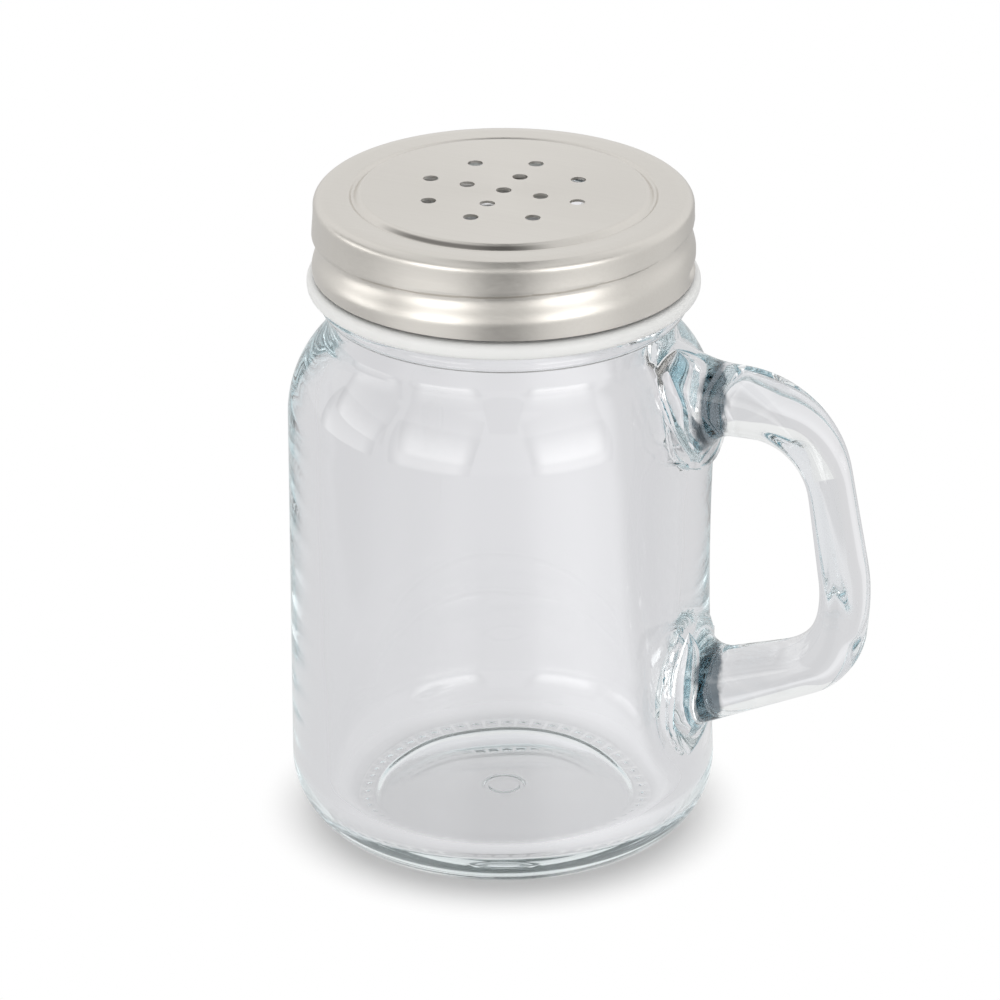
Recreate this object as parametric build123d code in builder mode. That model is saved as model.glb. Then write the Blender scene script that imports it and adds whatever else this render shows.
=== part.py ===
from build123d import *
import os
from math import acos, degrees

# Salt shaker in the shape of a small handled mason jar: a moulded glass jar, a rolled
# screw cap with shaker holes, and the sealing ring inside the cap. Millimetres, +Z up,
# the origin on the jar's axis in the plane it stands on, the handle along +X.

# Overall sizes
total_height = 89.2
cap_radius = 25.0
cap_depth = 10.85
body_radius = 28.4

# Cap, one sheet-metal pressing
sheet = 0.35
panel_inset = 6.3
groove_width = 0.95
groove_drop = 0.95
groove_climb = 0.5
flange_inner_drop = 0.6
flange_outer_drop = 0.85
cap_roundings = [0.6, 0.3, 0.5, 2.4]
shaker_hole_radius = 1.0
inner_hole_circle = 5.2
inner_hole_count = 4
outer_hole_circle = 10.4
outer_hole_count = 8

# Thread, rolled into the cap and moulded round the jar's finish
thread_lead = 5.0
thread_above_rim = 1.32
thread_below_top = 3.53
cap_thread_start_angle = 4.0
cap_groove_depth = 0.85
cap_ridge_depth = 0.9
cap_thread_rise = 0.7
cap_thread_fall = 1.3
cap_crest_width = 0.5
glass_thread_start_angle = -138.0
glass_thread_depth = 1.4
glass_crest_width = 1.0
glass_root_width = 2.6
thread_bite = 0.3

# How far the glass thread stands above the cap's ridge, crest to crest
thread_offset = 1.5

# Sealing ring
seal_gap = 0.05
seal_thickness = 0.9
seal_overhang = 0.3
seal_inset = 1.7
seal_rounding = 0.45

# Glass: finish, bead and neck, measured from the cap
finish_clearance = 2.1
finish_wall = 2.5
lip_rounding = 0.8
rim_gap = 0.4
bead_proud = 0.7
bead_half_height = 1.1
bead_roundness = 1.6
ring_below_bead = 2.45
ring_proud = 1.2
ring_half_height = 1.15
neck_step = 0.3
shoulder_below_ring = 16.2
shoulder_radius = 14.8

# Glass: base and heel, measured from the body's side
heel_width = 8.2
heel_height = 9.1
bearing_width = 3.0
push_up_inset = 0.6
push_up_depth = 1.6
push_up_middle = 1.225
push_up_edge = 0.35
base_mark_radius = 2.6
base_mark_width = 0.5
base_mark_depth = 0.25
stipple_count = 54
stipple_radius = 0.42
stipple_depth = 0.25

# Glass: cavity
floor_height = 4.4
floor_wall = 4.5
shoulder_wall = 3.2
cavity_shoulder_rise = 4.8
cavity_neck_drop = 4.9
cavity_roundings = [4.5, 7.0, 3.0]
dimple_radius = 6.5
dimple_inset = 1.8
upper_dimple_drop = 0.5
lower_dimple_height = 24.0

# Glass: handle, in the plane through the jar's axis. Its corners are given as the distance
# out from the body's side, and as a height: above the ring for the upper ones, above the
# table for the lower ones
handle_width = 9.6
handle_rounding = 2.0
upper_root_fillet = 1.0
lower_root_fillet = 1.6
upper_outline = [(-7.4, -0.2), (0.6, -4.7), (17.3, -4.9)]
lower_outline = [(23.1, 41.0), (22.2, 29.1), (-7.4, 16.2)]
handle_outline_roundings = [14.0, 9.0, 25.0, 7.5]
upper_opening = [(-7.4, -13.2), (14.7, -13.0)]
lower_opening = [(17.4, 41.5), (16.5, 34.0), (-7.4, 26.2)]
handle_opening_roundings = [6.0, 20.0, 5.0]

os.makedirs("parts", exist_ok=True)

# Derived radii
cap_inner_radius = cap_radius - sheet
panel_radius = cap_radius - panel_inset
groove_radius = panel_radius + groove_width
flange_inner_radius = groove_radius + groove_climb
finish_radius = cap_radius - finish_clearance
bore_radius = finish_radius - finish_wall
neck_radius = finish_radius - neck_step
ring_radius = finish_radius + ring_proud
bead_radius = cap_radius + bead_proud
glass_crest_radius = finish_radius + glass_thread_depth
seal_inner_radius = bore_radius + seal_overhang
seal_outer_radius = cap_radius - seal_inset
bearing_outer_radius = body_radius - heel_width
bearing_inner_radius = bearing_outer_radius - bearing_width
push_up_radius = bearing_inner_radius - push_up_inset
cavity_floor_radius = body_radius - floor_wall
cavity_shoulder_radius = body_radius - shoulder_wall
shoulder_centre = body_radius - shoulder_radius
shoulder_arc = degrees(acos((neck_radius - shoulder_centre) / shoulder_radius))
dimple_centre = body_radius - dimple_inset - dimple_radius

# Derived heights, from the top of the cap downwards
seal_top = total_height - flange_outer_drop - sheet - seal_gap
seal_bottom = seal_top - seal_thickness
mouth_height = seal_bottom - seal_gap
cap_rim_height = total_height - cap_depth
cap_thread_start_height = cap_rim_height + thread_above_rim
thread_height = total_height - thread_below_top - cap_thread_start_height
glass_thread_start_height = (
    cap_thread_start_height
    + thread_lead * (glass_thread_start_angle - cap_thread_start_angle) / 360
    + thread_offset
)
bead_height = cap_rim_height - rim_gap - bead_half_height
ring_height = bead_height - ring_below_bead
shoulder_start = ring_height - shoulder_below_ring
cavity_shoulder_height = shoulder_start + cavity_shoulder_rise
cavity_neck_height = ring_height - cavity_neck_drop
upper_dimple_height = cavity_shoulder_height - upper_dimple_drop

# Derived corners of the handle
grip_corner_height = lower_outline[0][1]
handle_outline = [(body_radius + out, ring_height + rise) for out, rise in upper_outline]
handle_outline += [(body_radius + out, height) for out, height in lower_outline]
handle_opening = [(body_radius + out, ring_height + rise) for out, rise in upper_opening]
handle_opening += [(body_radius + out, height) for out, height in lower_opening]


# Handle blank: its outline, the finger opening and every long edge rounded
with BuildPart() as handle_blank:
    with BuildSketch(Plane.XZ):
        with BuildLine():
            outside = FilletPolyline(handle_outline, radius=handle_outline_roundings)
            Line(outside @ 1, outside @ 0)
        make_face()
        with BuildLine():
            inside = FilletPolyline(handle_opening, radius=handle_opening_roundings)
            Line(inside @ 1, inside @ 0)
        make_face(mode=Mode.SUBTRACT)
    extrude(amount=handle_width / 2, both=True)
    side_faces = handle_blank.faces().filter_by(Axis.Y)
    long_edges = side_faces.edges().filter_by(lambda edge: edge.center().X > neck_radius)
    fillet(long_edges, handle_rounding)

# Hollow of the jar, with a dimple behind each handle root
with BuildPart() as cavity:
    with BuildSketch(Plane.XZ):
        with BuildLine():
            hollow = FilletPolyline(
                (0, floor_height),
                (cavity_floor_radius, floor_height),
                (cavity_shoulder_radius, cavity_shoulder_height),
                (bore_radius, cavity_neck_height),
                (bore_radius, total_height),
                radius=cavity_roundings,
            )
            Polyline(hollow @ 1, (0, total_height), (0, floor_height))
        make_face()
    revolve(axis=Axis.Z)
    with Locations((dimple_centre, 0, upper_dimple_height), (dimple_centre, 0, lower_dimple_height)):
        Sphere(dimple_radius)

# Thread of the jar's finish, one rib that climbs from below the cap's ridge
with BuildPart() as glass_thread:
    with BuildLine():
        glass_helix = Helix(
            thread_lead, thread_height, finish_radius, center=(0, 0, glass_thread_start_height)
        )
    with BuildSketch(Plane.XZ):
        with BuildLine():
            Polyline(
                (finish_radius - thread_bite, glass_thread_start_height - glass_root_width / 2),
                (glass_crest_radius, glass_thread_start_height - glass_crest_width / 2),
                (glass_crest_radius, glass_thread_start_height + glass_crest_width / 2),
                (finish_radius - thread_bite, glass_thread_start_height + glass_root_width / 2),
                close=True,
            )
        make_face()
    sweep(path=glass_helix, is_frenet=True)

# Glass jar
with BuildPart() as glass_jar:
    with BuildSketch(Plane.XZ):
        with BuildLine():
            push_up = ThreePointArc(
                (0, push_up_depth), (push_up_radius / 2, push_up_middle), (push_up_radius, push_up_edge)
            )
            Polyline(push_up @ 1, (bearing_inner_radius, 0), (bearing_outer_radius, 0))
            heel = EllipticalCenterArc(
                (bearing_outer_radius, heel_height),
                body_radius - bearing_outer_radius,
                heel_height,
                start_angle=270,
                arc_size=90,
            )
            Line(heel @ 1, (body_radius, shoulder_start))
            shoulder = CenterArc((shoulder_centre, shoulder_start), shoulder_radius, 0, shoulder_arc)
            Polyline(
                shoulder @ 1,
                (neck_radius, ring_height - ring_half_height),
                (finish_radius, ring_height - ring_half_height),
            )
            ring = EllipticalCenterArc(
                (finish_radius, ring_height),
                ring_radius - finish_radius,
                ring_half_height,
                start_angle=270,
                arc_size=180,
            )
            Polyline(
                ring @ 1,
                (finish_radius, bead_height - bead_half_height),
                (bead_radius - bead_roundness, bead_height - bead_half_height),
            )
            bead = EllipticalCenterArc(
                (bead_radius - bead_roundness, bead_height),
                bead_roundness,
                bead_half_height,
                start_angle=270,
                arc_size=180,
            )
            Polyline(
                bead @ 1,
                (finish_radius, bead_height + bead_half_height),
                (finish_radius, mouth_height),
                (0, mouth_height),
                push_up @ 0,
            )
        make_face()
    revolve(axis=Axis.Z)
    add(handle_blank.part)
    root_edges = glass_jar.edges(Select.NEW)
    upper_edges = root_edges.filter_by_position(Axis.Z, grip_corner_height, cavity_shoulder_height)
    lower_edges = root_edges.filter_by_position(Axis.Z, 0, grip_corner_height)
    fillet(upper_edges, upper_root_fillet)
    fillet(lower_edges, lower_root_fillet)
    add(cavity.part, mode=Mode.SUBTRACT)
    lip_edges = glass_jar.faces().sort_by(Axis.Z)[-1].edges()
    fillet(lip_edges, lip_rounding)

    # Stippled ring and small centre ring under the base
    with BuildSketch(Plane.XY):
        with PolarLocations((bearing_inner_radius + bearing_outer_radius) / 2, stipple_count):
            Circle(stipple_radius)
    extrude(amount=stipple_depth, mode=Mode.SUBTRACT)
    with BuildSketch(Plane.XY):
        Circle(base_mark_radius)
        Circle(base_mark_radius - base_mark_width, mode=Mode.SUBTRACT)
    extrude(amount=push_up_depth + base_mark_depth, mode=Mode.SUBTRACT)
    add(glass_thread.part, rotation=(0, 0, glass_thread_start_angle))
glass_jar.part.label = "glass_jar"
export_step(glass_jar.part, "parts/glass_jar.step")

# Rolled thread of the cap: the ridge inside it and the groove outside it
ridge_root = cap_inner_radius + sheet / 2
ridge_crest = cap_inner_radius - cap_ridge_depth
groove_floor = cap_radius - cap_groove_depth
groove_clear = cap_radius + sheet
with BuildPart() as cap_ridge:
    with BuildLine():
        cap_helix = Helix(thread_lead, thread_height, cap_radius, center=(0, 0, cap_thread_start_height))
    with BuildSketch(Plane.XZ):
        with BuildLine():
            Polyline(
                (ridge_root, cap_thread_start_height - cap_thread_fall),
                (ridge_crest, cap_thread_start_height - cap_crest_width),
                (ridge_crest, cap_thread_start_height + cap_crest_width / 2),
                (ridge_root, cap_thread_start_height + cap_thread_rise + sheet),
                close=True,
            )
        make_face()
    sweep(path=cap_helix, is_frenet=True)
with BuildPart() as cap_groove:
    with BuildSketch(Plane.XZ):
        with BuildLine():
            Polyline(
                (groove_clear, cap_thread_start_height - cap_thread_fall),
                (groove_floor, cap_thread_start_height - cap_crest_width / 2),
                (groove_floor, cap_thread_start_height),
                (groove_clear, cap_thread_start_height + cap_thread_rise),
                close=True,
            )
        make_face()
    sweep(path=cap_helix, is_frenet=True)

# Screw cap: one pressing with a raised panel, a groove, a flange and a rolled thread
with BuildPart() as screw_cap:
    with BuildSketch(Plane.XZ):
        with BuildLine():
            pressing = FilletPolyline(
                (0, total_height),
                (panel_radius, total_height),
                (groove_radius, total_height - groove_drop),
                (flange_inner_radius, total_height - flange_inner_drop),
                (cap_radius, total_height - flange_outer_drop),
                (cap_radius, cap_rim_height),
                radius=cap_roundings,
            )
            offset(amount=sheet, side=Side.RIGHT)
        make_face()
    revolve(axis=Axis.Z)
    add(cap_ridge.part, rotation=(0, 0, cap_thread_start_angle))
    add(cap_groove.part, rotation=(0, 0, cap_thread_start_angle), mode=Mode.SUBTRACT)
    with BuildSketch(Plane.XY.offset(total_height)):
        Circle(shaker_hole_radius)
        with PolarLocations(inner_hole_circle, inner_hole_count):
            Circle(shaker_hole_radius)
        with PolarLocations(outer_hole_circle, outer_hole_count):
            Circle(shaker_hole_radius)
    extrude(amount=-2 * sheet, mode=Mode.SUBTRACT)
screw_cap.part.label = "screw_cap"
export_step(screw_cap.part, "parts/screw_cap.step")

# Sealing ring between the cap's flange and the mouth of the jar
with BuildPart() as sealing_ring:
    with BuildSketch(Plane.XY.offset(seal_bottom)):
        Circle(seal_outer_radius)
        Circle(seal_inner_radius, mode=Mode.SUBTRACT)
    extrude(amount=seal_top - seal_bottom)
    top_rim = sealing_ring.edges().group_by(Axis.Z)[-1].sort_by(SortBy.RADIUS)[-1]
    fillet(top_rim, seal_rounding)
sealing_ring.part.label = "sealing_ring"
export_step(sealing_ring.part, "parts/sealing_ring.step")
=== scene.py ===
import math
import bpy
import numpy as np
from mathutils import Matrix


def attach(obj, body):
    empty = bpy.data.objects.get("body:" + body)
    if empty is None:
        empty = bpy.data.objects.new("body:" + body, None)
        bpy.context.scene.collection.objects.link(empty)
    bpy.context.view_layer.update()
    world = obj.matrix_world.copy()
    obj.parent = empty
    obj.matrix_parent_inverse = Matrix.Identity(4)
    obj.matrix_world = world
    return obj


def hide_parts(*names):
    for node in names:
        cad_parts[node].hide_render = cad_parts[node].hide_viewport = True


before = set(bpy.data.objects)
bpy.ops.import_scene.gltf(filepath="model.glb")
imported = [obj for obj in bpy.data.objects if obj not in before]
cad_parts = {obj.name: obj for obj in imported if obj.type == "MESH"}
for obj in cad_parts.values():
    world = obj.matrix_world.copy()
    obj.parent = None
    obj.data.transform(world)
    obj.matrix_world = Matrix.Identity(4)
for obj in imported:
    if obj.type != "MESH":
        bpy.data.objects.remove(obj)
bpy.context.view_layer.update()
scene = bpy.context.scene
mm = 0.001
print("stage: frame loaded")

# camera
cameraValues = {
    "distance": 0.8,
    "azimuth": 24.0,  # degrees round from the front, towards the handle
    "elevation": 24.2,
    "aimHeight": 0.0452,
    "lens": 217.4,
    "sensor": 36.0,
    "shiftX": -0.00375,
    "clip": (0.05, 20.0),
}


def standBack(obj, azimuth, elevation, distance, height=0.0):
    # puts an object at an angle round from the front and an angle up, looking at the axis at a height
    a, e = math.radians(azimuth), math.radians(elevation)
    back = np.array([math.sin(a) * math.cos(e), -math.cos(a) * math.cos(e), math.sin(e)])
    obj.location = np.array([0, 0, height]) + back * distance
    obj.rotation_euler = (math.pi / 2 - e, 0, a)


def makeCamera(v):
    data = bpy.data.cameras.new("photoCamera")
    data.sensor_width = v["sensor"]
    data.lens = v["lens"]
    data.shift_x = v["shiftX"]
    data.clip_start, data.clip_end = v["clip"]
    camera = bpy.data.objects.new("photoCamera", data)
    scene.collection.objects.link(camera)
    standBack(camera, v["azimuth"], v["elevation"], v["distance"], v["aimHeight"])
    scene.camera = camera


makeCamera(cameraValues)
scene.cycles.max_bounces = 90  # light caught in the thick glass needs many turns to get out
scene.cycles.glossy_bounces = 60
scene.cycles.transmission_bounces = 90
print("stage: camera set")


# curves and smooth steps
def arcPoints(centre, radii, start, end, count):
    # points on an ellipse: centre plus radii times cosine and sine of angles spread evenly
    a = np.radians(np.linspace(start, end, count))
    return np.column_stack([centre[0] + radii[0] * np.cos(a), centre[1] + radii[1] * np.sin(a)])


def roundedLine(corners, radii, step=0.25):
    # a polyline whose inner corners are replaced by arcs of the given radii, sampled at even steps
    p = [np.array(c, float) for c in corners]
    parts = [p[0][None]]
    for before, corner, after, radius in zip(p[:-2], p[1:-1], p[2:], radii):
        u = (before - corner) / np.linalg.norm(before - corner)
        w = (after - corner) / np.linalg.norm(after - corner)
        half = math.acos(np.clip(u @ w, -1, 1)) / 2
        reach = radius / math.tan(half)
        centre = corner + (u + w) / np.linalg.norm(u + w) * radius / math.sin(half)
        a, b = corner + u * reach - centre, corner + w * reach - centre
        t = np.linspace(0, 1, max(4, int(radius * (math.pi - 2 * half) / step) + 2))[:, None]
        angle = math.acos(np.clip(a @ b / radius**2, -1, 1))
        parts.append(centre + (np.sin((1 - t) * angle) * a + np.sin(t * angle) * b) / math.sin(angle))
    parts.append(p[-1][None])
    return np.vstack(parts)


def resample(points, spacing):
    # samples along a polyline, as far apart as the spacing says at each of its points
    length = np.concatenate([[0], np.cumsum(np.linalg.norm(np.diff(points, axis=0), axis=1))])
    need = np.concatenate([[0], np.cumsum(np.diff(length) / ((spacing[1:] + spacing[:-1]) / 2))])
    at = np.interp(np.linspace(0, need[-1], int(round(need[-1])) + 1), need, length)
    return np.column_stack([np.interp(at, length, points[:, k]) for k in range(points.shape[1])])


def rowSpacing(points, outside, regions):
    # how far apart the rows of a section lie: wide on plain walls, close over small forms. Where two
    # regions overlap, the later one counts
    r, z = points[:, 0], points[:, 1]
    spacing = np.zeros(len(points))
    for isOutside, (low, high), (near, far), step in regions.values():
        spacing[(outside == isOutside) & (z > low) & (z < high) & (r > near) & (r < far)] = step
    return spacing


def smoothStep(x, low, high):
    # nothing up to the low place, one from the high place, eased between them
    t = np.clip((x - low) / (high - low), 0, 1)
    return t * t * (3 - 2 * t)


def between(x, rise, fall):
    # eased from nothing to one over the first two places, and back over the last two
    return smoothStep(x, *rise) * (1 - smoothStep(x, *fall))


def hump(x, middle, spread):
    # a bell curve that is one in its middle
    return np.exp(-(((x - middle) / spread) ** 2))


def waveSum(angle, run, waves):
    # a sum of sines whose phase grows with the angle and with a height or a radius
    return sum(size * np.sin(times * angle + rate * run + start) for size, times, rate, start in waves)


def turned(angle):
    # an angle in radians brought between minus pi and pi
    return (angle + np.pi) % (2 * np.pi) - np.pi


def roundAngles(count):
    # one row of angles in radians, spread evenly once round
    return (np.arange(count) * 2 * np.pi / count)[None]


def superEllipse(angle, squareness):
    # cosine and sine drawn out towards the corners of a square: each is raised to two over the squareness
    return (np.sign(w) * np.abs(w) ** (2 / squareness) for w in (np.cos(angle), np.sin(angle)))


# meshes
poleRadius = 0.3  # the smallest ring of a spun surface, next to the point that closes it


def putMesh(name, vertices, faces, material=None):
    # a mesh from arrays in millimetres; its faces are turned outwards by the sign of the volume
    v = np.asarray(vertices, float)
    volume = sum(np.einsum("ij,ij->", v[f[:, 0]], np.cross(v[f[:, k]], v[f[:, k + 1]]))
                 for f in faces for k in range(1, f.shape[1] - 1))
    if volume < 0:
        faces = [f[:, ::-1] for f in faces]
    mesh = bpy.data.meshes.new(name)
    mesh.from_pydata((v * mm).tolist(), [], [row for f in faces for row in f.tolist()])
    mesh.shade_smooth()
    mesh.validate()
    obj = bpy.data.objects.new(name, mesh)
    scene.collection.objects.link(obj)
    if material:
        mesh.materials.append(material)
    return obj


def ringFaces(rows, columns, offset=0):
    # quads of a grid that closes on itself along its columns
    i = np.arange(rows - 1)[:, None] * columns
    j = np.arange(columns)[None]
    k = (j + 1) % columns
    quads = np.stack([i + j, i + k, i + columns + k, i + columns + j], axis=-1).reshape(-1, 4)
    return quads + offset


def poleFaces(pole, first, columns, flip):
    # a fan of triangles between one point and the ring that starts at the point called first
    j = np.arange(columns)
    k = (j + 1) % columns
    fan = np.column_stack([np.full(columns, pole), first + j, first + k])
    return fan[:, ::-1] if flip else fan


def putTube(name, grid, ends):
    # a closed mesh from a grid of rings, rows by columns by three, and the two points that close it
    rows, columns = grid.shape[:2]
    count = rows * columns
    faces = [ringFaces(rows, columns), poleFaces(count, 0, columns, True),
             poleFaces(count + 1, count - columns, columns, False)]
    return putMesh(name, np.vstack([grid.reshape(-1, 3), ends]), faces)


def spun(name, radius, height):
    # a closed surface round the upright axis, from the radius and height of each row and column
    angle = roundAngles(radius.shape[1])
    upright = np.broadcast_to(height, radius.shape)
    grid = np.stack([radius * np.cos(angle), radius * np.sin(angle), upright], axis=-1)
    return putTube(name, grid, [[0, 0, grid[0, :, 2].mean()], [0, 0, grid[-1, :, 2].mean()]])


def putPanel(name, width, height, material):
    # one flat rectangle round the origin, its sides in metres
    w, h = width / 2 / mm, height / 2 / mm
    corners = np.array([[-w, -h, 0], [w, -h, 0], [w, h, 0], [-w, h, 0]])
    return putMesh(name, corners, [np.array([[0, 1, 2, 3]])], material)


def joinBoolean(base, tool, operation):
    # joins the tool to the base or cuts it out, and uses it up
    change = base.modifiers.new("join", "BOOLEAN")
    change.operation = operation
    change.solver = "EXACT"
    change.object = tool
    graph = bpy.context.evaluated_depsgraph_get()
    mesh = bpy.data.meshes.new_from_object(base.evaluated_get(graph))
    base.modifiers.clear()
    old = base.data
    base.data = mesh
    bpy.data.meshes.remove(old)
    bpy.data.objects.remove(tool)


def giveMaterial(obj, material):
    obj.data.materials.clear()
    obj.data.materials.append(material)


# nodes
def newMaterial(name):
    material = bpy.data.materials.new(name)
    material.use_nodes = True
    tree = material.node_tree
    return material, tree, tree.nodes["Principled BSDF"]


def node(tree, kind, inputs=None, **settings):
    # a node with its settings, and its inputs as values or as links from sockets
    made = tree.nodes.new(kind)
    for key, value in settings.items():
        setattr(made, key, value)
    for key, value in (inputs or {}).items():
        if isinstance(value, bpy.types.NodeSocket):
            tree.links.new(value, made.inputs[key])
        else:
            made.inputs[key].default_value = value
    return made


def objectPoint(tree, turn=0.0, scale=(1, 1, 1)):
    # the point on the object in metres, turned by degrees round the upright axis and then scaled
    coordinates = node(tree, "ShaderNodeTexCoord")
    return node(tree, "ShaderNodeMapping", {
        "Vector": coordinates.outputs["Object"],
        "Rotation": (0, 0, math.radians(turn)),
        "Scale": scale,
    }).outputs[0]


def splitPoint(tree, vector):
    return node(tree, "ShaderNodeSeparateXYZ", {0: vector}).outputs


def alongWay(tree, vector, way):
    # how far a point lies along a direction
    return node(tree, "ShaderNodeVectorMath", {0: vector, 1: way}, operation="DOT_PRODUCT").outputs["Value"]


def lengthOf(tree, vector):
    return node(tree, "ShaderNodeVectorMath", {0: vector}, operation="LENGTH").outputs["Value"]


def calculate(tree, operation, *values):
    return node(tree, "ShaderNodeMath", dict(enumerate(values)), operation=operation).outputs[0]


def eased(tree, value, start, full, least=0.0, most=1.0):
    # the least up to the start, the most from the full place, eased between them
    return node(tree, "ShaderNodeMapRange", {
        "Value": value, "From Min": start, "From Max": full, "To Min": least, "To Max": most,
    }, interpolation_type="SMOOTHSTEP").outputs[0]


def noise(tree, vector, scale, detail, roughness=0.5):
    return node(tree, "ShaderNodeTexNoise", {
        "Vector": vector, "Scale": scale, "Detail": detail, "Roughness": roughness,
    }).outputs["Fac"]


def mixColours(tree, factor, a, b, **settings):
    return node(tree, "ShaderNodeMix", {"Factor": factor, "A": a, "B": b}, data_type="RGBA",
                **settings).outputs["Result"]


def giveRelief(tree, shader, height, depth):
    # a pattern of heights becomes relief in the shading, as deep as the given metres
    bump = node(tree, "ShaderNodeBump", {"Height": height, "Strength": 1.0, "Distance": depth})
    tree.links.new(bump.outputs["Normal"], shader.inputs["Normal"])


# materials
glassFinish = {
    "tint": (0.985, 0.985, 0.99, 1),
    "ior": 1.5,
    "roughness": 0.0,
    "shine": 1.0,
    "paintedRootShade": (0.05, 0.07, 0.085, 1),  # painted shade where the handle leaves the wall
    "rootStart": (0.0290, 0.0301),  # it fades in between these two places towards the handle
    "rootEnd": (0.0289, 0.0281),  # and out from the second to the first along the way below
    "rootLean": (0.9135, 0.4067, 0),  # to the right in the photograph
    "rootWander": 0.0018,
    "rootNoise": (520.0, 2.0),  # scale and detail
    "ripple": (55.0, 1.5),
    "rippleStretch": (1, 1, 0.35),
    "rippleHeight": 0.00001,
    "absorbColour": (0.70, 0.86, 0.90, 1),
    "absorbDensity": 7.5,
}


def makeGlass(v):
    # clear glass with a slow ripple, a tint that deepens with the way through it, and painted shade at the
    # handle's roots
    material, tree, shader = newMaterial("clearGlass")
    shader.inputs["IOR"].default_value = v["ior"]
    shader.inputs["Roughness"].default_value = v["roughness"]
    shader.inputs["Specular IOR Level"].default_value = v["shine"]
    shader.inputs["Transmission Weight"].default_value = 1.0
    # painted shade: the glass's colour darkens where the handle's roots leave the wall
    place = objectPoint(tree)
    wander = noise(tree, place, *v["rootNoise"])
    starts, ends = (calculate(tree, "MULTIPLY_ADD", wander, v["rootWander"], reach)
                    for reach in (splitPoint(tree, place)["X"], alongWay(tree, place, v["rootLean"])))
    half = v["rootWander"] / 2
    fadeIn = eased(tree, starts, *(x + half for x in v["rootStart"]))
    fadeOut = eased(tree, ends, *(x + half for x in v["rootEnd"]))
    rootShadeMask = calculate(tree, "MULTIPLY", fadeIn, fadeOut)
    tree.links.new(mixColours(tree, rootShadeMask, v["tint"], v["paintedRootShade"]), shader.inputs["Base Color"])
    ripple = noise(tree, objectPoint(tree, scale=v["rippleStretch"]), *v["ripple"])
    giveRelief(tree, shader, ripple, v["rippleHeight"])
    absorb = node(tree, "ShaderNodeVolumeAbsorption", {
        "Color": v["absorbColour"], "Density": v["absorbDensity"],
    })
    tree.links.new(absorb.outputs[0], tree.nodes["Material Output"].inputs["Volume"])
    return material


steelFinish = {
    "colour": (0.765, 0.74, 0.695, 1),
    "shadeColour": (0.665, 0.635, 0.59, 1),
    "roughness": 0.33,
    "roughSpread": 0.08,
    "roughRange": (0.3, 0.7),  # the tones of the pattern that the spread is laid over
    "anisotropy": 0.35,
    "brushTurn": -24.0,  # the brushing runs across the photograph
    "brushScale": (35.0, 2600.0, 2600.0),
    "brushNoise": (1.0, 3.0, 0.6),  # scale, detail, roughness
    "brushHeight": 0.000004,
    "wideScale": (60.0, 220.0, 220.0),
    "wideNoise": (1.0, 2.0),
    "wideShare": 0.35,
    "grooveRing": (0.01882, 0.01952),  # painted shade in the panel's groove, on one side only
    "grooveFade": 0.00025,
    "grooveTurn": -84.0,
    "grooveReach": (0.0148, 0.0184),  # it fades in between these two places towards that angle
    "grooveShadeStrength": 0.72,
    "grooveShadeColour": (0.05, 0.045, 0.04, 1),
}


def makeSteel(v):
    # brushed steel: fine streaks and wide ones in its tone and roughness, and an arc of painted shade in the
    # groove
    material, tree, shader = newMaterial("brushedSteel")
    shader.inputs["Metallic"].default_value = 1.0
    shader.inputs["Anisotropic"].default_value = v["anisotropy"]
    streaks = noise(tree, objectPoint(tree, v["brushTurn"], v["brushScale"]), *v["brushNoise"])
    wide = noise(tree, objectPoint(tree, v["brushTurn"], v["wideScale"]), *v["wideNoise"])
    blend = node(tree, "ShaderNodeMix", {"Factor": v["wideShare"], "A": streaks, "B": wide},
                 data_type="FLOAT").outputs["Result"]
    plain = mixColours(tree, blend, v["shadeColour"], v["colour"])
    # painted shade: a dark arc in the panel's groove, fading in round towards one side
    place = objectPoint(tree, -v["grooveTurn"])
    flat = node(tree, "ShaderNodeVectorMath", {0: place, 1: (1, 1, 0)}, operation="MULTIPLY")
    reach = lengthOf(tree, flat.outputs[0])
    low, high = v["grooveRing"]
    beyond = eased(tree, reach, low, low + v["grooveFade"])
    within = eased(tree, reach, high, high - v["grooveFade"])
    facing = eased(tree, splitPoint(tree, place)["X"], *v["grooveReach"], most=v["grooveShadeStrength"])
    dark = calculate(tree, "MULTIPLY", calculate(tree, "MULTIPLY", beyond, within), facing)
    tree.links.new(mixColours(tree, dark, plain, v["grooveShadeColour"]), shader.inputs["Base Color"])
    rough = node(tree, "ShaderNodeMapRange", {
        "Value": blend, "From Min": v["roughRange"][0], "From Max": v["roughRange"][1],
        "To Min": v["roughness"] - v["roughSpread"] / 2, "To Max": v["roughness"] + v["roughSpread"] / 2,
    })
    tree.links.new(rough.outputs["Result"], shader.inputs["Roughness"])
    giveRelief(tree, shader, streaks, v["brushHeight"])
    return material


def cloudColour(tree, shader, v):
    # the colour wanders between a dull and a pale tone; the noise that it follows is given back
    clouds = noise(tree, objectPoint(tree), *v["clouds"])
    tree.links.new(mixColours(tree, clouds, v["dull"], v["pale"]), shader.inputs["Base Color"])
    return clouds


beadFinish = {
    "pale": (0.99, 0.99, 0.975, 1),
    "dull": (0.95, 0.955, 0.945, 1),
    "roughness": 0.34,
    "clear": 0.1,
    "clouds": (160.0, 3.0),  # scale and detail
    "cloudHeight": 0.00004,
}


def makeFrostedGlass(v):
    # the bead looks milky, because its many small turns scatter the light
    material, tree, shader = newMaterial("frostedGlass")
    shader.inputs["Roughness"].default_value = v["roughness"]
    shader.inputs["Transmission Weight"].default_value = v["clear"]
    giveRelief(tree, shader, cloudColour(tree, shader, v), v["cloudHeight"])
    return material


rubberFinish = {
    "pale": (0.86, 0.86, 0.83, 1),
    "dull": (0.78, 0.775, 0.74, 1),
    "roughness": 0.62,
    "clouds": (260.0, 4.0),
    "grain": (2200.0, 2.0),
    "grainHeight": 0.00001,
}


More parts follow.
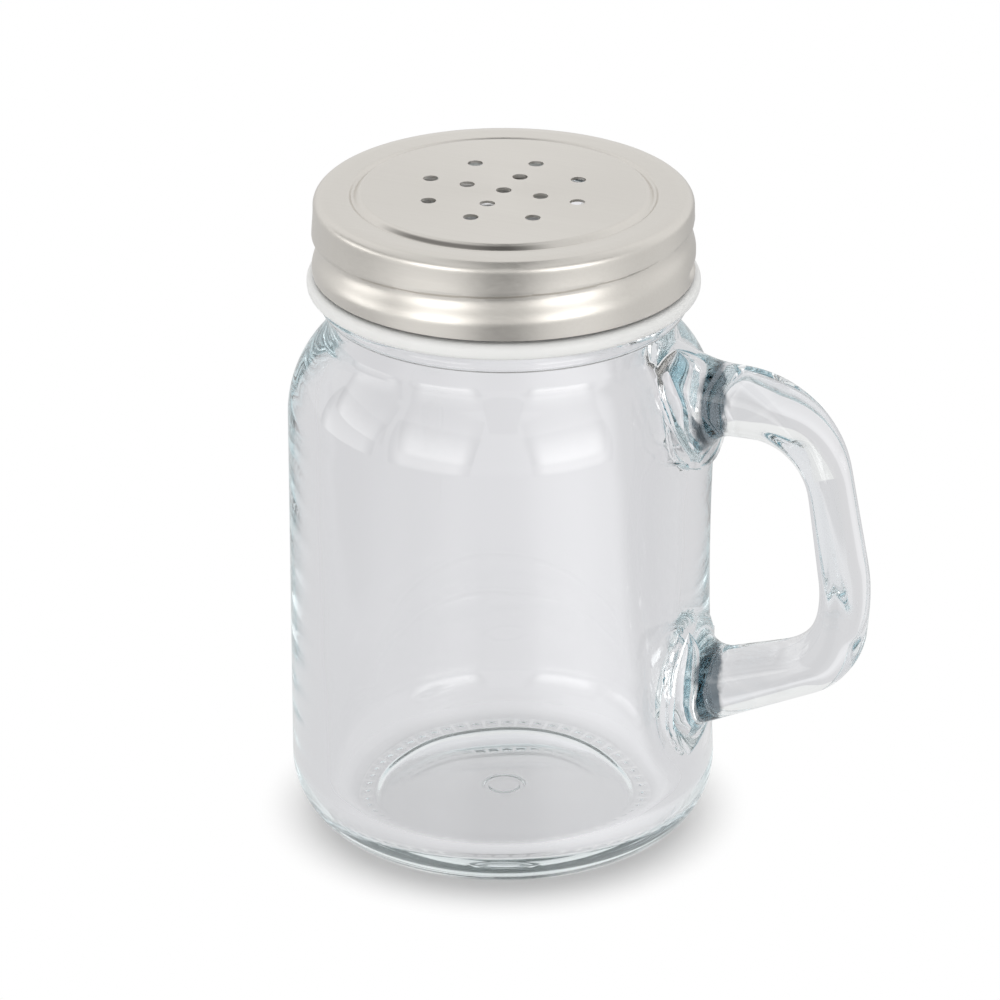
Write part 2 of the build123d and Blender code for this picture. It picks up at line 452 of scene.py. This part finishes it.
def makeRubber(v):
    # dull rubber with soft clouds of tone and a fine grain
    material, tree, shader = newMaterial("linerRubber")
    shader.inputs["Roughness"].default_value = v["roughness"]
    cloudColour(tree, shader, v)
    giveRelief(tree, shader, noise(tree, objectPoint(tree), *v["grain"]), v["grainHeight"])
    return material


glass = makeGlass(glassFinish)
steel = makeSteel(steelFinish)
frosted = makeFrostedGlass(beadFinish)
rubber = makeRubber(rubberFinish)
print("stage: materials made")


# threads, shared by jar and cap
threadValues = {
    "lead": 5.0,
    "turns": 1.2,
    "capStartAngle": 4.0,
    "capStartHeight": 79.67,
    "glassStartAngle": -138.0,
    "glassAboveCap": 1.5,
    "fade": 14.0,  # degrees over which each end runs out
    "roundOff": -0.06,
}


def threadShape(angle, height, startAngle, startHeight, ridge, v):
    # a ridge that climbs with the angle: for each turn, the height over the helix is turned into
    # a bump with smooth flanks below and above its crest, and the bump fades at the ends
    below, above, half = ridge["threadBelow"], ridge["threadAbove"], ridge["threadCrest"] / 2
    total = np.zeros(np.broadcast(angle, height).shape)
    around = (np.degrees(angle) - startAngle) % 360
    last = 360 * v["turns"]
    for turn in range(math.ceil(v["turns"]) + 1):
        along = around + 360 * turn
        over = height - (startHeight + v["lead"] * along / 360)
        down = np.clip((-over - half) / (below - half), 0, 1)
        down = down + v["roundOff"] * np.sin(2 * np.pi * down)  # a straight flank with eased ends
        flank = np.where(over < 0, 1 - down, 1 - smoothStep(over, half, above))
        total = np.maximum(total, flank * between(along, (0, v["fade"]), (last - v["fade"], last)))
    return total


# glass jar
jarValues = {
    "columns": 270,  # five to each dot of the stippled ring
    # points that each curve of the section is drawn with, before its rows are spaced
    "drawn": {"under": 60, "lead": 10, "bearing": 24, "heel": 60, "shoulder": 60, "ring": 24},
    # each region of the section: is it outside, its heights, its radii, and how far apart its rows lie
    "regions": {
        "wall": (True, (-1, 90), (0, 30), 1.4),
        "shoulder": (True, (56, 90), (0, 30), 0.75),
        "neck": (True, (69, 90), (0, 30), 0.34),
        "finish": (True, (78.3, 90), (0, 30), 0.42),
        "heel": (True, (-1, 10.5), (0, 30), 0.55),
        "base": (True, (-1, 2.5), (0, 16.5), 1.0),
        "mark": (True, (-1, 2.5), (0, 4), 0.3),
        "bearing": (True, (-1, 0.4), (16.5, 21), 0.26),
        "hollow": (False, (-1, 90), (0, 30), 1.5),
        "hollowFloor": (False, (-1, 15), (0, 30), 1.1),
    },
    "pushUp": (16.6, 1.6, 0.35),  # radius, height in the middle, height at its edge
    "leadEnd": (17.5, 0.02),
    "bearing": (17.7, 20.2),
    "heel": (8.2, 9.1),
    "bodyRadius": 28.4,
    "shoulderStart": 58.2,
    "shoulderRadius": 14.8,
    "shoulderStop": 0.45,  # the shoulder's arc ends this far outside the neck
    "throatRise": 0.9,
    "neckRadius": 22.6,
    "neckFillet": 1.3,
    "ring": (24.1, 74.4, 1.15),  # radius, height, half thickness
    "ringFillet": 0.3,
    "ringOverlap": 0.1,
    "finishRadius": 22.9,
    "mouth": 87.0,
    "bore": 20.4,
    "lip": 0.8,
    "lipDepth": 3.0,
    "lipStep": 0.15,
    "threadDepth": 1.4,
    "threadBelow": 1.3,
    "threadAbove": 1.3,
    "threadCrest": 1.0,
    "threadZone": ((78.0, 78.3), (85.9, 86.1)),  # heights at which the thread may start and must have ended
    "cavityRoundings": (4.5, 14.0, 5.0),  # at the floor, under the shoulder and under the neck
    "floor": 4.4,
    "floorRadius": 23.9,
    "wallFoot": 8.0,  # the hollow's wall is straight from here to the shoulder
    "shoulderInner": (25.2, 62.9),
    "neckInner": 69.2,
    "thickSide": 0.8,  # the wall is this much thicker on the handle's side
    "thickSpread": 38.0,  # degrees
    "thickZone": ((6, 24), (44, 71)),  # heights over which it comes in, and goes again
    "waves": 0.25,  # the share that is used of the wall's waves
    # each wave: size, times round, rate with the height or radius, start
    "wallWaves": ((0.05, 3, 0.11, 0.0), (0.04, 5, -0.17, 1.3), (0.02, 9, 0.35, 0.6), (0.02, 2, 0.62, 2.1)),
    "waveZone": ((9, 18), (46, 60)),
    "floorWaves": ((0.10, 2, 0.12, 0.8), (0.07, 3, -0.35, 0.0)),
    "floorZone": (2, 9),  # radii over which the floor's waves come in
    "floorTop": (4.6, 8),  # heights over which they end
    "swellings": ((21.8, 7.2, 7.4, 1.9), (65.2, 7.6, 7.8, 2.3)),  # height, spread up, spread round, amount
    "flat": (38.0, 26.0, 24.0, -1.15),  # the wall lies a little deeper between the handle's roots
    "bumpPower": 1.3,
    "bumpFoot": (3, 11),  # heights over which these come in over the heel
    "bumpTop": 73,  # they end under the ring
    "stipple": {"dots": 54, "radius": 18.7, "spread": 0.34, "depth": 0.22, "power": 1.5},
    "mark": {"radius": 2.4, "spread": 0.30, "depth": 0.22},
}


def jarProfile(v):
    # the jar's section from the middle of the base, up the outside, over the lip and down the hollow:
    # a parabola under the base, an ellipse at the heel, arcs at shoulder and ring, rounded corners between
    pushR, pushDepth, pushEdge = v["pushUp"]
    flatIn, flatOut = v["bearing"]
    heelR, heelZ = v["heel"]
    ringR, ringZ, ringHalf = v["ring"]
    neck, finish, drawn, mouth = v["neckRadius"], v["finishRadius"], v["drawn"], v["mouth"]
    bend = v["shoulderRadius"]
    centre = v["bodyRadius"] - bend
    topAngle = math.degrees(math.acos((neck + v["shoulderStop"] - centre) / bend))
    r = np.linspace(poleRadius, pushR, drawn["under"])
    under = np.column_stack([r, pushEdge + (pushDepth - pushEdge) * (1 - (r / pushR) ** 2)])
    t = np.linspace(0, 1, drawn["lead"])[1:, None]
    lead = np.array([[pushR, pushEdge]]) * (1 - t) + np.array([v["leadEnd"]]) * t
    r = np.linspace(flatIn, flatOut, drawn["bearing"])
    bearing = np.column_stack([r, np.zeros_like(r)])
    heel = arcPoints((flatOut, heelZ), (heelR, heelZ), 270, 360, drawn["heel"])[1:]
    shoulder = arcPoints((centre, v["shoulderStart"]), (bend, bend), 0, topAngle, drawn["shoulder"])
    throat = roundedLine(
        [shoulder[-1], (neck, shoulder[-1][1] + v["throatRise"]), (neck, ringZ - ringHalf),
         (finish + v["ringOverlap"], ringZ - ringHalf)], [v["neckFillet"], v["ringFillet"]])[1:]
    ring = arcPoints((finish, ringZ), (ringR - finish, ringHalf), 270, 450, drawn["ring"])
    lipEnd = (v["bore"], mouth - v["lipDepth"])
    neckTop = roundedLine(
        [(finish, ringZ + ringHalf + v["ringOverlap"]), (finish, mouth), (v["bore"], mouth), lipEnd],
        [v["lip"], v["lip"]], v["lipStep"])
    hollow = roundedLine(
        [lipEnd, (v["bore"], v["neckInner"]), v["shoulderInner"], (v["floorRadius"], v["floor"]),
         (poleRadius, v["floor"])], v["cavityRoundings"][::-1])[1:]
    outside = np.vstack([under, lead, bearing, heel, shoulder, throat, ring, neckTop])
    return np.vstack([outside, hollow]), len(outside)


def insideMove(angle, height, v):
    # how far the inner wall moves outwards: thicker glass by the handle, as a bell curve of the angle,
    # and the slow waves that pressing leaves
    wave = v["waves"] * waveSum(angle, height, v["wallWaves"]) * between(height, *v["waveZone"])
    side = hump(np.degrees(turned(angle)), 0, v["thickSpread"])
    return wave - v["thickSide"] * side * between(height, *v["thickZone"])


def sideBump(angle, height, bump, v):
    # an oval hill or hollow on the wall at the handle's side: its amount falls off as a steep bell curve
    # of the distance from its middle
    high, up, across, amount = bump
    away = (turned(angle) * v["bodyRadius"] / across) ** 2 + ((height - high) / up) ** 2
    return amount * np.exp(-(away ** v["bumpPower"])) * smoothStep(height, *v["bumpFoot"])


def makeJarBody(v, thread):
    # the section spun round the axis: the thread, the bumps and the wall's waves move its radius, and
    # the floor's waves, the stippled dots and the mould mark move its height
    line, split = jarProfile(v)
    outside = np.arange(len(line)) < split
    rows = resample(np.column_stack([line, ~outside]), rowSpacing(line, outside, v["regions"]))
    r, z, inside = rows[:, 0:1], rows[:, 1:2], rows[:, 2:3] > 0.5
    angle = roundAngles(v["columns"])
    start = thread["capStartHeight"] + thread["glassAboveCap"]
    start += thread["lead"] * (thread["glassStartAngle"] - thread["capStartAngle"]) / 360
    ridge = threadShape(angle, z, thread["glassStartAngle"], start, v, thread)
    radius = r + v["threadDepth"] * ridge * between(z, *v["threadZone"]) * ~inside
    for bump in (*v["swellings"], v["flat"]):
        radius = radius + np.where(~inside & (z < v["bumpTop"]), sideBump(angle, z, bump, v), 0)
    radius = radius + np.where(inside, insideMove(angle, z, v), 0)
    floorWave = waveSum(angle, r, v["floorWaves"]) * smoothStep(r, *v["floorZone"])
    height = z + np.where(inside, floorWave * (1 - smoothStep(z, *v["floorTop"])), 0)
    stipple, mark = v["stipple"], v["mark"]
    dots = np.cos(angle * stipple["dots"]) * hump(r, stipple["radius"], stipple["spread"])
    height = height + np.where(inside, 0, stipple["depth"] * np.clip(dots, 0, 1) ** stipple["power"])
    height = height + np.where(inside, 0, mark["depth"] * hump(r, mark["radius"], mark["spread"]))
    return spun("jarBody", radius, height)


beadValues = {
    "radius": 25.7,
    "height": 76.85,
    "half": 1.1,
    "thick": 3.0,
    "squareness": 2.6,
    "rows": 48,
    "columns": 240,
}


def makeBead(v, material):
    # the carrying bead: a superellipse carried round the neck
    across, up = superEllipse(np.linspace(0, 2 * np.pi, v["rows"], endpoint=False)[:, None], v["squareness"])
    angle = roundAngles(v["columns"])
    radius = v["radius"] - v["thick"] / 2 + v["thick"] / 2 * across
    height = (v["height"] + v["half"] * up) * np.ones_like(angle)
    grid = np.stack([radius * np.cos(angle), radius * np.sin(angle), height], axis=-1).reshape(-1, 3)
    closing = (ringFaces(2, v["columns"]) + len(grid) - v["columns"]) % len(grid)
    return putMesh("neckBead", grid, [ringFaces(v["rows"], v["columns"]), closing], material)


handleValues = {
    "width": 9.6,
    # the outlines' corners by distance from the axis and height, from the upper root to the lower
    "outer": [(21.8, 72.4), (29.0, 69.7), (45.7, 69.5), (51.5, 41.0), (50.6, 29.1), (26.4, 17.3)],
    "outerRounding": (14.0, 15.3, 25.0, 9.5),
    "inner": [(26.6, 60.6), (43.1, 61.4), (45.8, 41.5), (44.85, 33.5), (26.6, 27.7)],
    "innerRounding": (7.5, 15.0, 9.2),
    "marks": (0, 0.30, 0.52, 0.70, 1.0),  # the share of the sections that lies before each matched corner
    "sections": 190,
    "crowded": 0.75,  # how much closer the sections lie at the two ends
    "smoothed": 12,  # sections to each side over which the matching is smoothed
    "round": 56,
    "squareness": 2.5,
    "waist": 45.0,  # the upper arm lies above this height
    "flare": 2.6,
    "flarePower": 1.7,
    "flareAbove": 0.12,  # the share of the flare that is left on top of the upper arm
    "webs": (5.6, 5.0),  # how far the upper and lower root spread towards the finger opening
    "webSide": 0.7,  # the cosine round a section at which a web is full, and the smaller flare on top
    "topSide": 0.9,
    "buried": (0.5, 0.2),  # the handle's hidden ends keep this far from the wall's inside and outside
}


def matchedLines(v):
    # the handle's outer and inner outlines, sampled so that row i of both is one section: their
    # corners' middles are matched, and the matching is smoothed along the handle
    outer = roundedLine(v["outer"], v["outerRounding"])
    inner = roundedLine(v["inner"], v["innerRounding"])
    pad = v["smoothed"]
    kernel = np.hanning(2 * pad + 3)[1:-1]

    def spread(line, places):
        length = np.concatenate([[0], np.cumsum(np.linalg.norm(np.diff(line, axis=0), axis=1))])
        near = [length[np.argmin(np.linalg.norm(line - np.array(p), axis=1))] for p in places]
        even = np.linspace(0, 1, v["sections"])
        even = even - v["crowded"] * np.sin(2 * np.pi * even) / (2 * np.pi)
        at = np.interp(even, v["marks"], [0, *near, length[-1]])
        padded = np.concatenate([2 * at[0] - at[pad:0:-1], at, 2 * at[-1] - at[-2:-2 - pad:-1]])
        at = np.convolve(padded, kernel / kernel.sum(), "same")[pad:-pad]
        at[0], at[-1] = 0, length[-1]
        return np.column_stack([np.interp(at, length, line[:, k]) for k in range(2)])

    return spread(outer, v["outer"][2:5]), spread(inner, v["inner"][1:4])


def outerWall(z, jar):
    # the radius of the jar's outside at a height, by the handle
    centre = jar["bodyRadius"] - jar["shoulderRadius"]
    over = np.clip(z - jar["shoulderStart"], 0, jar["shoulderRadius"])
    onShoulder = centre + np.sqrt(jar["shoulderRadius"] ** 2 - over**2)
    plain = np.maximum(np.where(z > jar["shoulderStart"], onShoulder, jar["bodyRadius"]), jar["neckRadius"])
    return plain + sideBump(0.0, z, jar["flat"], jar)


def innerWall(z, jar):
    # the radius of the hollow at a height, without its waves
    return np.interp(z, [jar["wallFoot"], jar["shoulderInner"][1], jar["neckInner"]],
                     [jar["floorRadius"], jar["shoulderInner"][0], jar["bore"]])


def makeHandle(v, jar):
    # each section is a superellipse between the two outlines, widened near the wall like a trumpet
    outer, inner = matchedLines(v)
    middle, half = (outer + inner) / 2, (outer - inner) / 2
    c, s = superEllipse(np.linspace(0, 2 * np.pi, v["round"], endpoint=False)[None], v["squareness"])
    x = middle[:, 0:1] + half[:, 0:1] * c
    z = middle[:, 1:2] + half[:, 1:2] * c
    y = v["width"] / 2 * s * np.ones_like(x)
    upper = middle[:, 1:2] > v["waist"]
    gap = np.hypot(x, y) - outerWall(z, jar)
    flare = v["flare"] + (np.where(upper, *v["webs"]) - v["flare"]) * smoothStep(-c, 0.0, v["webSide"])
    near = np.clip((flare - gap) / flare, 0, 1)
    spread = flare * (1 - (1 - near ** v["flarePower"]) ** (1 / v["flarePower"]))
    spread = spread * (1 - (1 - v["flareAbove"]) * (smoothStep(c, 0.0, v["topSide"]) * upper))
    halfLong = np.linalg.norm(half, axis=1, keepdims=True)
    nx, ny, nz = half[:, 0:1] / halfLong * c, s, half[:, 1:2] / halfLong * c
    size = np.sqrt(nx**2 + ny**2 + nz**2)
    x, y, z = x + spread * nx / size, y + spread * ny / size, z + spread * nz / size
    reach = np.hypot(x, y)
    inWall = np.clip(reach, innerWall(z, jar) + v["buried"][0], outerWall(z, jar) - v["buried"][1])
    kept = np.where(gap < 0, inWall / reach, 1.0)  # what lies behind the wall's face stays inside the wall
    grid = np.stack([x * kept, y * kept, z], axis=-1)
    return putTube("handleBlank", grid, [grid[0].mean(0), grid[-1].mean(0)])


# the closed hollows behind the handle's roots: ends of the middle line, widest height, half sizes
pocketValues = {
    "upper": {"low": (25.2, 55.6), "high": (24.3, 70.4), "widest": 64.4, "deep": 4.0, "wide": 4.2},
    "lower": {"low": (24.6, 13.6), "high": (25.3, 30.6), "widest": 19.6, "deep": 3.7, "wide": 3.5},
}
pocketShape = {"rows": 72, "columns": 64, "tip": 0.012, "power": 0.9}


def makePocket(v, shape):
    # ellipses stacked along the leaning middle line, whose size rises as a sine from one tip to the
    # widest place and falls again to the other
    t = np.linspace(shape["tip"], 1 - shape["tip"], shape["rows"])[:, None]
    (lowX, lowZ), (highX, highZ) = v["low"], v["high"]
    peak = (v["widest"] - lowZ) / (highZ - lowZ)
    size = np.sin(np.pi / 2 * np.where(t < peak, t / peak, (1 - t) / (1 - peak)) ** shape["power"])
    a = roundAngles(shape["columns"])
    x = lowX + (highX - lowX) * t + v["deep"] * size * np.cos(a)
    y = v["wide"] * size * np.sin(a)
    z = (lowZ + (highZ - lowZ) * t) * np.ones_like(a)
    return putTube("pocket", np.stack([x, y, z], axis=-1), [[lowX, 0, lowZ], [highX, 0, highZ]])


jar = makeJarBody(jarValues, threadValues)
print("stage: jar body", len(jar.data.polygons), "faces")
joinBoolean(jar, makeHandle(handleValues, jarValues), "UNION")
for values in pocketValues.values():
    joinBoolean(jar, makePocket(values, pocketShape), "DIFFERENCE")
jar.name = jar.data.name = "glassJar"
giveMaterial(jar, glass)
jar.data.shade_smooth()
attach(jar, "jar")
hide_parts("glass_jar")
bead = makeBead(beadValues, frosted)
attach(bead, "jar")
print("stage: jar and handle joined", len(jar.data.polygons), "faces")


# screw cap
capValues = {
    "columns": 360,
    "regions": {  # as for the jar
        "sheet": (True, (0, 90), (0, 30), 0.30),
        "panel": (True, (0, 90), (0, 17.6), 1.2),
        "groove": (True, (86, 90), (17.6, 20.8), 0.14),
    },
    "top": 89.2,
    "radius": 25.0,
    "rim": 78.35,
    "sheet": 0.35,
    "panel": 18.7,
    "groove": (19.65, 0.95),  # radius and drop from the top, as in the next three
    "flangeInner": (20.15, 0.34),
    "crease": (22.6, 0.26),
    "edge": ((24.2, 0.44), (25.0, 1.16)),
    "roundings": (0.5, 0.3, 0.5, 0.5, 1.2, 1.35),  # one for each corner, from the panel to the edge
    "roundStep": 0.12,
    "sheetStep": 0.05,
    "rimPoints": 9,
    "threadDepth": 0.9,
    "threadBelow": 3.2,
    "threadAbove": 0.85,
    "threadCrest": 0.35,
    "threadRadii": (21.0, 24.2),  # the thread fades in between these radii, and these heights over the rim
    "threadRise": (0.05, 0.9),
    "lean": 0.22,  # the upper band leans in a little towards its top
    "leanHeights": (83.0, 87.0),
    "leanRadii": (23.5, 24.5),
    "holeRadius": 1.0,
    "holeSides": 48,
    "holeReach": (-2, 1),  # the cutters' ends below and above the panel
    "circles": ((0.0, 1), (5.2, 4), (10.4, 8)),  # radius of each circle and the number of its holes
    "sharpFrom": 50.0,  # degrees between two faces
}


def capProfile(v):
    # the pressing's section: the outer face from the middle to the rim, the rolled edge, the inner face back
    places = [(poleRadius, 0), (v["panel"], 0), v["groove"], v["flangeInner"], v["crease"], *v["edge"]]
    corners = [(r, v["top"] - drop) for r, drop in places] + [(v["radius"], v["rim"])]
    outer = roundedLine(corners, v["roundings"], v["roundStep"])
    outer = resample(outer, np.full(len(outer), v["sheetStep"]))
    along = np.gradient(outer, axis=0)
    along /= np.linalg.norm(along, axis=1, keepdims=True)
    inner = outer + np.column_stack([along[:, 1], -along[:, 0]]) * v["sheet"]
    half = v["sheet"] / 2
    rimTop = v["rim"] + half
    edge = arcPoints((v["radius"] - half, rimTop), (half, half), 0, -180, v["rimPoints"])
    inner = inner[(inner[:, 0] > poleRadius) & (inner[:, 1] > rimTop)]
    return np.vstack([outer[outer[:, 1] > rimTop], edge, inner[::-1]])


def makeCap(v, thread):
    # the section spun round the axis, with the thread rolled into its side and the upper band leaning in
    line = capProfile(v)
    rows = resample(line, rowSpacing(line, True, v["regions"]))
    r, z = rows[:, 0:1], rows[:, 1:2]
    angle = roundAngles(v["columns"])
    ridge = threadShape(angle, z, thread["capStartAngle"], thread["capStartHeight"], v, thread)
    side = smoothStep(r, *v["threadRadii"]) * smoothStep(z, *(v["rim"] + rise for rise in v["threadRise"]))
    lean = v["lean"] * smoothStep(z, *v["leanHeights"]) * smoothStep(r, *v["leanRadii"])
    return spun("screwCap", r - v["threadDepth"] * ridge * side - lean, z)


def holeCutter(v):
    # all the shaker holes as upright prisms in one mesh
    places = [(circle * math.cos(2 * math.pi * k / count), circle * math.sin(2 * math.pi * k / count))
              for circle, count in v["circles"] for k in range(count)]
    sides = v["holeSides"]
    a = roundAngles(sides)[0]
    ring = v["holeRadius"] * np.column_stack([np.cos(a), np.sin(a)])
    vertices, walls, caps = [], [], []
    for n, place in enumerate(places):
        first = 2 * sides * n
        for reach in v["holeReach"]:
            vertices.append(np.column_stack([ring + place, np.full(sides, v["top"] + reach)]))
        walls.append(ringFaces(2, sides, first))
        caps.append([np.arange(sides)[::-1] + first, np.arange(sides) + first + sides])
    return putMesh("holeCutter", np.vstack(vertices), [np.vstack(walls), np.vstack(caps)])


cap = makeCap(capValues, threadValues)
joinBoolean(cap, holeCutter(capValues), "DIFFERENCE")
giveMaterial(cap, steel)
cap.data.shade_smooth()
cap.data.set_sharp_from_angle(angle=math.radians(capValues["sharpFrom"]))
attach(cap, "cap")
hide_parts("screw_cap")
print("stage: cap", len(cap.data.polygons), "faces")


# sealing ring keeps its CAD solid
giveMaterial(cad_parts["sealing_ring"], rubber)


# floor, world and light cards
stageValues = {
    "floorSize": 6.0,
    "floorColour": (0.86, 0.86, 0.86, 1),
    "floorRoughness": 0.9,
    "white": (1, 1, 1, 1),
    "whiteLight": 1.0,
    # metres from the axis over which the floor turns white for the eye, or its own light for glass, and
    # the share of that near the object
    "fadeEye": (0.0235, 0.0335),
    "fadeGlass": (0.0165, 0.0270),
    "nearEye": 0.25,
    "nearGlass": 0.62,
    # painted light and shade on the pale ground as glass shows it, by millimetres to the right in the
    # photograph
    "groundAcross": ((-34, 0.70), (-20, 0.72), (-2, 0.785), (14, 0.86), (22, 0.83), (28, 0.70), (36, 0.685),
                     (60, 0.685)),
    "groundFront": (0.79, 0.79, 0.79, 1),  # even on the photographer's side of the object
    "frontFade": (-0.045, -0.015),
    "groundHue": (1.0, 0.993, 1.008, 1),
    "skyFront": (0.74, 0.74, 0.74, 1),
    "skyBack": (0.86, 0.86, 0.85, 1),
    "skyDepth": (-0.95, 0.75),  # from the photographer's side to the far side
    # what metal mirrors, by the angle round from the photograph's side: painted light and shade on the
    # ground, and the room over it
    "groundRing": ((-180, 0.70), (-120, 0.72), (-82, 0.62), (-56, 0.95), (-26, 0.95), (-8, 0.30), (8, 0.30),
                   (24, 0.90), (48, 1.0), (78, 0.75), (112, 0.82), (140, 0.58), (180, 0.70)),
    "roomRing": ((-180, 0.91), (-150, 0.92), (-118, 1.0), (-80, 0.80), (-30, 0.95), (-8, 0.66), (8, 0.66),
                 (30, 0.95), (80, 0.80), (112, 1.0), (150, 0.92), (180, 0.91)),
}


def photoWays(camera):
    # the level directions to the right in the photograph and away from its camera
    a = math.radians(camera["azimuth"])
    return (math.cos(a), math.sin(a), 0), (-math.sin(a), math.cos(a), 0)


def mirrorRay(tree):
    # rays that metal or glass mirrors: a ray through glass counts as glossy too, so it is taken out
    path = node(tree, "ShaderNodeLightPath")
    return calculate(tree, "GREATER_THAN", path.outputs["Is Glossy Ray"], path.outputs["Is Transmission Ray"])


def toneRamp(tree, value, stops):
    # greys eased between stops of place and brightness, from the lowest place to the highest
    low, high = stops[0][0], stops[-1][0]
    share = node(tree, "ShaderNodeMapRange", {"Value": value, "From Min": low, "From Max": high})
    ramp = node(tree, "ShaderNodeValToRGB", {0: share.outputs[0]})
    ramp.color_ramp.interpolation = "EASE"
    marks = ramp.color_ramp.elements
    while len(marks) < len(stops):
        marks.new(1.0)
    for mark, (place, tone) in zip(marks, stops):
        mark.position = (place - low) / (high - low)
        mark.color = (tone, tone, tone, 1)
    return ramp.outputs["Color"]


def aroundTone(tree, vector, stops, camera):
    # brightness by the angle round the object, from a ramp that starts and ends opposite the camera
    turnedRound = node(tree, "ShaderNodeMapping", {
        "Vector": vector, "Rotation": (0, 0, math.radians(90 - camera["azimuth"]))}).outputs[0]
    parts = splitPoint(tree, turnedRound)
    angle = calculate(tree, "ARCTAN2", parts["Y"], parts["X"])
    return toneRamp(tree, angle, [(math.radians(degrees), tone) for degrees, tone in stops])


def makeFloor(v, camera):
    # plain diffuse for light, and towards the eye it fades to white away from the object; glass and mirrors
    # see a glow with painted light and shade
    material, tree, shader = newMaterial("paleFloor")
    shader.inputs["Base Color"].default_value = v["floorColour"]
    shader.inputs["Roughness"].default_value = v["floorRoughness"]
    shader.inputs["Specular IOR Level"].default_value = 0.0
    path = node(tree, "ShaderNodeLightPath")
    eye, glassy, mirror = path.outputs["Is Camera Ray"], path.outputs["Is Transmission Ray"], mirrorRay(tree)
    place = objectPoint(tree)
    right, away = (alongWay(tree, place, way) for way in photoWays(camera))
    # painted light and shade: the ground's glow for glass and mirrors is brighter or darker by place and by
    # angle round
    ramp = toneRamp(tree, right, [(x * mm, tone) for x, tone in v["groundAcross"]])
    sided = mixColours(tree, eased(tree, away, *v["frontFade"]), v["groundFront"], ramp)
    ground = mixColours(tree, 1.0, sided, v["groundHue"], blend_type="MULTIPLY")
    tone = mixColours(tree, mirror, ground, aroundTone(tree, place, v["groundRing"], camera))
    plain = mixColours(tree, eye, tone, v["white"])
    own = node(tree, "ShaderNodeEmission", {"Color": plain, "Strength": v["whiteLight"]})
    reach = lengthOf(tree, place)
    byEye = calculate(tree, "MULTIPLY", eye, eased(tree, reach, *v["fadeEye"], least=v["nearEye"]))
    through = calculate(tree, "MAXIMUM", mirror, glassy)
    byGlass = calculate(tree, "MULTIPLY", through, eased(tree, reach, *v["fadeGlass"], least=v["nearGlass"]))
    share = calculate(tree, "MAXIMUM", byEye, byGlass)
    mixed = node(tree, "ShaderNodeMixShader", {0: share, 1: shader.outputs[0], 2: own.outputs[0]})
    tree.links.new(mixed.outputs[0], tree.nodes["Material Output"].inputs["Surface"])
    putPanel("floor", v["floorSize"], v["floorSize"], material)


def makeWorld(v, camera):
    # a plain room: darker on the side the photograph is taken from, pale behind, white to the eye
    world = bpy.data.worlds.new("studio")
    scene.world = world
    world.use_nodes = True
    tree = world.node_tree
    tree.nodes.clear()
    direction = node(tree, "ShaderNodeTexCoord").outputs["Generated"]
    depth = alongWay(tree, direction, photoWays(camera)[1])
    tone = mixColours(tree, eased(tree, depth, *v["skyDepth"]), v["skyFront"], v["skyBack"])
    seen = mixColours(tree, mirrorRay(tree), tone, aroundTone(tree, direction, v["roomRing"], camera))
    sky = node(tree, "ShaderNodeBackground", {"Color": seen, "Strength": 1.0})
    white = node(tree, "ShaderNodeBackground", {"Color": v["white"], "Strength": v["whiteLight"]})
    eye = node(tree, "ShaderNodeLightPath").outputs["Is Camera Ray"]
    mixed = node(tree, "ShaderNodeMixShader", {0: eye, 1: sky.outputs[0], 2: white.outputs[0]})
    out = node(tree, "ShaderNodeOutputWorld")
    tree.links.new(mixed.outputs[0], out.inputs["Surface"])


cardValues = {  # azimuth and elevation from the object, distance, width, height, brightness
    "leftCard": (-15.0, 18.0, 0.9, 0.76, 0.74, 2.7),
    "rightCard": (62.0, 18.0, 0.9, 0.76, 0.74, 2.8),
    "sideCard": (-67.0, 10.0, 0.9, 0.66, 0.66, 2.2),
    "darkStrip": (24.0, 76.0, 0.9, 0.24, 1.2, 0.0),  # unlit, over the object, between the two soft boxes
}
cardLight = {
    "colour": (1.0, 0.995, 0.985, 1),
    "sides": 0.30,  # full light starts at this share of the width from the middle
    "top": -0.22,  # and at these shares of the height from the middle
    "foot": -0.30,
    "topLeft": 0.12,  # the light left at the top edge
}


def makeCard(name, azimuth, elevation, distance, width, height, brightness, v):
    # a soft box: a lit panel whose light fades at its sides and towards its top, unseen by the eye
    material, tree, shader = newMaterial(name)
    tree.nodes.remove(shader)
    place = splitPoint(tree, node(tree, "ShaderNodeTexCoord").outputs["Object"])
    across = calculate(tree, "ABSOLUTE", place["X"])
    sides = eased(tree, across, width / 2, width * v["sides"])
    top = eased(tree, place["Y"], height / 2, height * v["top"], least=v["topLeft"])
    foot = eased(tree, place["Y"], -height / 2, height * v["foot"])
    level = calculate(tree, "MULTIPLY", sides, top)
    level = calculate(tree, "MULTIPLY", level, foot)
    level = calculate(tree, "MULTIPLY", level, brightness)
    lit = node(tree, "ShaderNodeEmission", {"Color": v["colour"], "Strength": level})
    tree.links.new(lit.outputs[0], tree.nodes["Material Output"].inputs["Surface"])
    card = putPanel(name, width, height, material)
    standBack(card, azimuth, elevation, distance)
    card.visible_camera = False
    card.visible_diffuse = card.visible_transmission = brightness > 0


makeFloor(stageValues, cameraValues)
makeWorld(stageValues, cameraValues)
for name, values in cardValues.items():
    makeCard(name, *values, cardLight)
scene.view_settings.view_transform = "Standard"
print("stage: floor, world and light cards")
